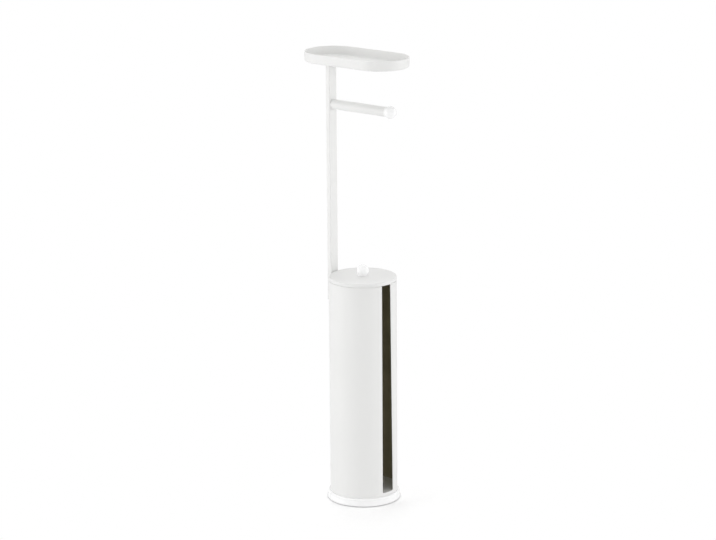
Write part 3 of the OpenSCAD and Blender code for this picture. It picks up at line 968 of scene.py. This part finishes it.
class BuildPost(bpy.types.Operator):
    """Build the flat post tube and the plug in its lower end"""
    bl_idname = "holder.build_post"
    bl_label = "Post and plug"

    def execute(self, context):
        sizes = settings().post
        screw = settings().screw
        low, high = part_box("post")
        core = post_core()
        x = centre_of("post").x
        inner = sizes.corner - sizes.wall
        tube = [(sizes.corner, low.z), (sizes.corner, high.z), (inner, high.z), (inner, low.z)]
        post = drawn("post_tube", rounded(tube, closed=True), coat_white(), **core)
        move(post, x)
        arm_z = centre_of("arm_tube").z
        front = high.x + screw.small
        back = low.x - screw.small
        holes = [((x, 0.0, z), (front, 0.0, z), screw.rivet_radius) for z in post_screw_heights()]
        holes.append(((back, 0.0, arm_z), (front, 0.0, arm_z), hole_radius(screw.large)))
        drill(post, holes)
        complete(post, "stand", "white_coat", "post")

        plug_low, plug_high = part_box("post_plug")
        collar_inside = inner - sizes.plug_collar
        closed_at = -core["half_length"]
        outline = [
            (closed_at, plug_low.z),
            (sizes.corner, plug_low.z, sizes.plug_edge),
            (sizes.corner, low.z),
            (inner, low.z),
            (inner, plug_high.z),
            (collar_inside, plug_high.z),
            (collar_inside, low.z),
            (closed_at, low.z),
        ]
        plug = drawn("post_end_plug", rounded(outline), moulded_plastic(), **core)
        move(plug, x)
        complete(plug, "stand", "white_plastic", "post_plug")
        return {"FINISHED"}


class BuildBracket(bpy.types.Operator):
    """Build the plate under the tray and the fillet weld that joins it to the post"""
    bl_idname = "holder.build_bracket"
    bl_label = "Tray bracket"

    def execute(self, context):
        sizes = settings().post
        low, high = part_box("tray_bracket")
        half_length = (high.x - low.x) / 2 - sizes.plate_corner
        half_width = (high.y - low.y) / 2 - sizes.plate_corner
        closed_at = -min(half_length, half_width)
        plate = rounded([
            (closed_at, low.z),
            (sizes.plate_corner, low.z, sizes.plate_edge),
            (sizes.plate_corner, high.z, sizes.plate_edge),
            (closed_at, high.z),
        ])
        piece = drawn("tray_bracket_plate", plate, coat_white(), half_length, half_width,
                      sizes.plate_segments)
        move(piece, centre_of("tray_bracket").x)
        drill(piece, tray_screw_holes(low.z, high.z))

        root = sizes.corner - sizes.weld_sink
        leg = sizes.corner + sizes.weld
        foot = low.z - sizes.weld
        crown = low.z + sizes.weld_sink
        bead = [Vector((root, foot))]
        bead += arc(Vector((leg, foot)), Vector((sizes.corner, foot)), Vector((leg, low.z)))
        bead += [Vector((leg, crown)), Vector((root, crown)), bead[0]]
        weld = drawn("tray_bracket_weld", bead, coat_white(), **post_core())
        move(weld, centre_of("post").x)
        join(piece, weld)
        complete(piece, "stand", "white_coat", "tray_bracket")
        return {"FINISHED"}


class BuildTray(bpy.types.Operator):
    """Build the oval tray with its rounded floor edge and rim"""
    bl_idname = "holder.build_tray"
    bl_label = "Shelf tray"

    def execute(self, context):
        sizes = settings().tray
        low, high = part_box("tray")
        end = high.y
        wall = sizes.wall
        section = rounded([
            (0.0, low.z),
            (end, low.z, sizes.floor_round),
            (end, high.z, sizes.rim_round),
            (end - wall, high.z, sizes.rim_round),
            (end - wall, low.z + wall, sizes.floor_round - wall),
            (0.0, low.z + wall),
        ])
        piece = drawn("tray_pressed", section, coat_white(), (high.x - low.x) / 2 - end, 0.0,
                      sizes.end_segments)
        move(piece, centre_of("tray").x)
        drill(piece, tray_screw_holes(low.z, low.z + wall))
        complete(piece, "stand", "white_coat", "tray")
        return {"FINISHED"}


class BuildArm(bpy.types.Operator):
    """Build the tube of the arm"""
    bl_idname = "holder.build_arm"
    bl_label = "Arm tube"

    def execute(self, context):
        sizes = settings().arm
        low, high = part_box("arm_tube")
        span = high.x - low.x
        outer = (high.y - low.y) / 2
        section = rounded([
            (outer, 0.0, sizes.edge),
            (outer, span, sizes.edge),
            (outer - sizes.wall, span, sizes.edge),
            (outer - sizes.wall, 0.0, sizes.edge),
        ], closed=True)
        piece = drawn("arm_tube_drawn", section, coat_white())
        lay_along_x(piece, low.x, centre_of("arm_tube").z)
        complete(piece, "stand", "white_coat", "arm_tube")
        return {"FINISHED"}


def screw_model(thread, head_radius, head_height, shank):
    """A screw with its seat on z = 0, its threaded shank up and its domed head below."""
    sizes = settings().screw
    pitch = thread * sizes.pitch
    crest = thread / 2
    root = crest - pitch / 2
    turns = int((shank - 2 * pitch) / pitch)
    section = rounded([
        (0.0, -head_height),
        (sizes.crown_width * head_radius, -head_height, sizes.crown_round * head_radius),
        (head_radius, -sizes.rim_height * head_height, sizes.rim_round * head_radius),
        (head_radius, 0.0, sizes.seat_edge),
        (crest, 0.0),
        (crest, pitch),
    ])
    for i in range(turns):
        base = pitch * (1 + i)
        section += [Vector((root, base + pitch / 2)), Vector((crest, base + pitch))]
    section += [Vector((root, shank)), Vector((0.0, shank))]
    screw = drawn("screw_model", section, zinc_plate(), quarter_segments=sizes.segments)
    cut(screw, cross_recess(head_radius, head_height))
    return screw


def cross_recess(head_radius, head_height):
    """The tapered cross that a driver fits, to cut into a head whose top lies at -head_height.

    Its mouth stands a little clear of the head, so that the cut goes through the crown.
    """
    sizes = settings().screw
    arm = sizes.recess_reach * head_radius
    half = sizes.recess_width * head_radius
    outline = [(arm, -half), (arm, half), (half, half), (half, arm), (-half, arm), (-half, half),
               (-arm, half), (-arm, -half), (-half, -half), (-half, -arm), (half, -arm), (half, -half)]
    taper = sizes.recess_taper
    clear_of_head = 0.3
    mouth = -(1.0 + clear_of_head) * head_height
    bottom = (sizes.recess_depth - 1.0) * head_height
    points = [(x, y, mouth) for x, y in outline] + [(taper * x, taper * y, bottom) for x, y in outline]
    number = len(outline)
    faces = [tuple(range(number)), tuple(range(number, 2 * number))]
    faces += [(i, (i + 1) % number, (i + 1) % number + number, i + number) for i in range(number)]
    tool = mesh_object("cross_recess", points, faces)
    face_outwards(tool)
    return tool


def set_screws(name, body, node, thread, head, shank, direction, start, step=(0, 0, 0), turn=0.0, number=1):
    """Sets copies of one screw in a row or ring, as one piece that replaces its node."""
    model = screw_model(thread, head[0] * thread, head[1] * thread, shank)
    piece = mesh_object(name)
    run_tree(piece, row_tree(), {
        "Screw": model,
        "Count": number,
        "Start": start,
        "Step": step,
        "Turn": turn,
        "Direction": direction,
        "Seed": settings().screw.seed,
        "Material": zinc_plate(),
    })
    discard(model)
    complete(piece, body, "zinc_plate", node)


class BuildScrews(bpy.types.Operator):
    """Set the screws of base, post, tray, arm and lid"""
    bl_idname = "holder.build_screws"
    bl_label = "Screws"

    def execute(self, context):
        sizes = settings().screw
        small, large = sizes.small, sizes.large
        pan = (sizes.pan_width, sizes.pan_height)
        truss = (sizes.truss_width, sizes.truss_height)
        up, down = (0.0, 0.0, 0.0), (pi, 0.0, 0.0)
        plus_x, minus_x = (0.0, pi / 2, 0.0), (0.0, -pi / 2, 0.0)

        low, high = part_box("base_screws")
        seat = low.z + pan[1] * small
        ring = -low.x - pan[0] * small
        start = (ring * cos(pi / 3), ring * sin(pi / 3), seat)
        set_screws("base_screw_set", "stand", "base_screws", small, pan, high.z - seat, up, start,
                   turn=2 * pi / 3, number=3)

        low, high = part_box("post_screws")
        seat = high.x - pan[1] * small
        first, second = post_screw_heights()
        set_screws("post_screw_set", "stand", "post_screws", small, pan, seat - low.x, minus_x,
                   (seat, 0.0, first), step=(0.0, 0.0, second - first), number=2)

        low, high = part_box("tray_screws")
        seat = high.z - truss[1] * small
        first, second = tray_screw_places()
        set_screws("tray_screw_set", "stand", "tray_screws", small, truss, seat - low.z, down,
                   (first, 0.0, seat), step=(second - first, 0.0, 0.0), number=2)

        low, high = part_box("arm_screw")
        seat = low.x + pan[1] * large
        set_screws("arm_screw_pan", "stand", "arm_screw", large, pan, high.x - seat, plus_x,
                   (seat, 0.0, centre_of("arm_screw").z))

        low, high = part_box("lid_screw")
        seat = low.z + pan[1] * large
        set_screws("lid_screw_pan", "lid", "lid_screw", large, pan, high.z - seat, up, (0.0, 0.0, seat))
        return {"FINISHED"}


FITTINGS = {
    "base_pad": cell_foam,
    "base_ballast": cast_iron,
    "base_sleeves": zinc_plate,
    "base_nuts": zinc_plate,
    "canister_floor": coat_white,
    "post_spacers": moulded_plastic,
    "post_washers": moulded_plastic,
    "post_rivet_nuts": zinc_plate,
    "tray_nuts": zinc_plate,
    "arm_inserts": zinc_plate,
    "arm_stud": zinc_plate,
    "lid_washer": zinc_plate,
}


class FinishFittings(bpy.types.Operator):
    """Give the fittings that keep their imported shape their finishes"""
    bl_idname = "holder.finish_fittings"
    bl_label = "Fittings"

    def execute(self, context):
        for name, finish in FITTINGS.items():
            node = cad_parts[name]
            if not node.material_slots:
                node.data.materials.append(finish())
            for slot in node.material_slots:
                slot.material = finish()
        return {"FINISHED"}


# Studio

def ways_seen(tree):
    """Two values that are 1 for what the camera sees directly and for what it sees reflected."""
    rays = add_node(tree, "ShaderNodeLightPath").outputs
    return calc(tree, "MAXIMUM", rays["Is Camera Ray"], rays["Is Transmission Ray"]), rays["Is Glossy Ray"]


def mixed(tree, part, base, other):
    """The base value where part is 0, and the other one where it is 1."""
    values = {"Factor": part, NUMBER_A: base, NUMBER_B: other}
    return add_node(tree, "ShaderNodeMix", values).outputs[0]


def emission(tree, strength):
    """Plain white light."""
    return add_node(tree, "ShaderNodeEmission", {"Strength": strength}).outputs[0]


def around(azimuth, elevation=0.0):
    """Unit vector towards a direction round the stand, where azimuth 0 is the -Y side."""
    return Vector((sin(azimuth) * cos(elevation), -cos(azimuth) * cos(elevation), sin(elevation)))


def make_world(studio):
    """Soft light from all sides, less from above, and plain white where the camera sees it."""
    world = bpy.data.worlds.new("studio")
    world.use_nodes = True
    tree = world.node_tree
    direction = add_node(tree, "ShaderNodeTexCoord").outputs["Generated"]
    light = add_node(tree, "ShaderNodeMapRange", {
        "Value": add_node(tree, "ShaderNodeSeparateXYZ", {0: direction}).outputs["Z"],
        "To Min": studio.room_light,
        "To Max": studio.ceiling_light,
    }).outputs[0]
    direct, reflected = ways_seen(tree)
    dimmed = mixed(tree, reflected, light, studio.reflections)
    strength = mixed(tree, direct, dimmed, 1.0)
    tree.links.new(strength, tree.nodes["Background"].inputs["Strength"])
    tree.nodes["Background"].inputs["Color"].default_value = (1.0, 1.0, 1.0, 1.0)
    bpy.context.scene.world = world


def make_floor(studio):
    """A pale floor that keeps the stand's shadow and turns plain white away from it."""
    half = studio.floor_half
    corners = [(-half, -half, 0.0), (half, -half, 0.0), (half, half, 0.0), (-half, half, 0.0)]
    floor = mesh_object("floor", corners, [(0, 1, 2, 3)])
    material = bpy.data.materials.new("floor_pale")
    material.use_nodes = True
    tree = material.node_tree
    direct, reflected = ways_seen(tree)
    painted = tree.nodes["Principled BSDF"]
    painted.inputs["Base Color"].default_value = (*studio.floor, 1.0)
    painted.inputs["Roughness"].default_value = studio.floor_roughness
    glow = emission(tree, calc(tree, "MULTIPLY", direct, studio.near_glow))
    seen = add_node(tree, "ShaderNodeAddShader", {0: painted.outputs[0], 1: glow}).outputs[0]
    place = add_node(tree, "ShaderNodeTexCoord").outputs["Object"]
    away = add_node(tree, "ShaderNodeMapRange", {
        "Value": add_node(tree, "ShaderNodeVectorMath", {0: place}, operation="LENGTH").outputs["Value"],
        "From Min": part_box("base_shell")[1].y,
        "From Max": studio.white_reach,
    }, interpolation_type="SMOOTHSTEP").outputs[0]
    from_below = add_node(tree, "ShaderNodeNewGeometry").outputs["Backfacing"]
    clear = add_node(tree, "ShaderNodeBsdfTransparent").outputs[0]
    layers = [
        (calc(tree, "MULTIPLY", direct, away), emission(tree, 1.0)),
        (reflected, emission(tree, studio.reflections)),
        (from_below, clear),
    ]
    for part, layer in layers:
        seen = add_node(tree, "ShaderNodeMixShader", {0: part, 1: seen, 2: layer}).outputs[0]
    tree.links.new(seen, tree.nodes["Material Output"].inputs["Surface"])
    floor.data.materials.append(material)


def make_lamp(name, studio, turn, distance, height, power):
    """A soft square lamp that faces the middle of the stand, turned from the camera's side."""
    lamp = bpy.data.lights.new(name, "AREA")
    lamp.shape = "SQUARE"
    lamp.size = studio.lamp_size
    lamp.energy = power
    holder = bpy.data.objects.new(name, lamp)
    holder.visible_camera = False
    holder.location = around(studio.azimuth + turn) * distance
    holder.location.z = height
    aim = Vector((0.0, 0.0, CAD_BOX[1][2] / 2)) - holder.location
    holder.rotation_euler = aim.to_track_quat("-Z", "Y").to_euler()
    bpy.context.scene.collection.objects.link(holder)


def make_camera(studio):
    """The camera at the product view."""
    lens = bpy.data.cameras.new("camera")
    lens.sensor_width = SENSOR_WIDTH
    lens.lens = studio.lens
    camera = bpy.data.objects.new("camera", lens)
    back = around(studio.azimuth, studio.elevation)
    camera.location = Vector(studio.target) + back * studio.distance
    camera.rotation_mode = "QUATERNION"
    camera.rotation_quaternion = (-back).to_track_quat("-Z", "Y") @ Quaternion((0, 0, 1), studio.roll)
    bpy.context.scene.collection.objects.link(camera)
    bpy.context.scene.camera = camera


class BuildStudio(bpy.types.Operator):
    """Set up the pale floor, the soft light and the camera"""
    bl_idname = "holder.build_studio"
    bl_label = "Studio"

    def execute(self, context):
        studio = settings().studio
        make_camera(studio)
        make_world(studio)
        make_floor(studio)
        far = studio.lamp_distance
        make_lamp("lamp_left", studio, -studio.side_turn, far, studio.side_height, studio.left_power)
        make_lamp("lamp_right", studio, studio.side_turn, far, studio.side_height, studio.right_power)
        make_lamp("lamp_front", studio, 0.0, far, studio.front_height, studio.front_power)
        make_lamp("lamp_back", studio, pi, far, studio.back_height, studio.back_power)
        make_lamp("lamp_top", studio, 0.0, 0.0, studio.top_height, studio.top_power)
        context.scene.view_settings.view_transform = "Standard"
        return {"FINISHED"}


OPERATORS = (BuildStudio, BuildBase, BuildCanister, BuildLid, BuildKnobs, BuildPost, BuildBracket,
             BuildTray, BuildArm, BuildScrews, FinishFittings)
GROUPS = (BaseSizes, CanisterSizes, LidSizes, KnobSizes, PostSizes, ArmSizes, TraySizes, ScrewSizes,
          FinishLooks, StudioSettings, HolderSettings)


class HolderPanel(bpy.types.Panel):
    """Lists the builders of the stand and their settings"""
    bl_idname = "VIEW3D_PT_paper_holder"
    bl_label = "Paper Holder"
    bl_space_type = "VIEW_3D"
    bl_region_type = "UI"
    bl_category = "Paper Holder"

    def draw(self, context):
        for operator in OPERATORS:
            self.layout.operator(operator.bl_idname)
        holder = context.scene.paper_holder
        for group in HolderSettings.__annotations__:
            box = self.layout.box()
            box.label(text=HolderSettings.bl_rna.properties[group].name)
            for setting in getattr(holder, group).__annotations__:
                box.prop(getattr(holder, group), setting)


CLASSES = GROUPS + OPERATORS + (HolderPanel,)


def register():
    """Adds the settings, the operators and the panel."""
    for cls in CLASSES:
        bpy.utils.register_class(cls)
    bpy.types.Scene.paper_holder = PointerProperty(type=HolderSettings)


def unregister():
    """Takes the settings, the operators and the panel away."""
    del bpy.types.Scene.paper_holder
    for cls in reversed(CLASSES):
        bpy.utils.unregister_class(cls)


def main():
    """Builds the stand piece by piece."""
    register()
    bpy.ops.holder.build_studio()
    bpy.ops.holder.build_base()
    bpy.ops.holder.build_canister()
    bpy.ops.holder.build_lid()
    bpy.ops.holder.build_knobs()
    bpy.ops.holder.build_post()
    bpy.ops.holder.build_bracket()
    bpy.ops.holder.build_tray()
    bpy.ops.holder.build_arm()
    bpy.ops.holder.build_screws()
    bpy.ops.holder.finish_fittings()


if __name__ == "__main__":
    main()
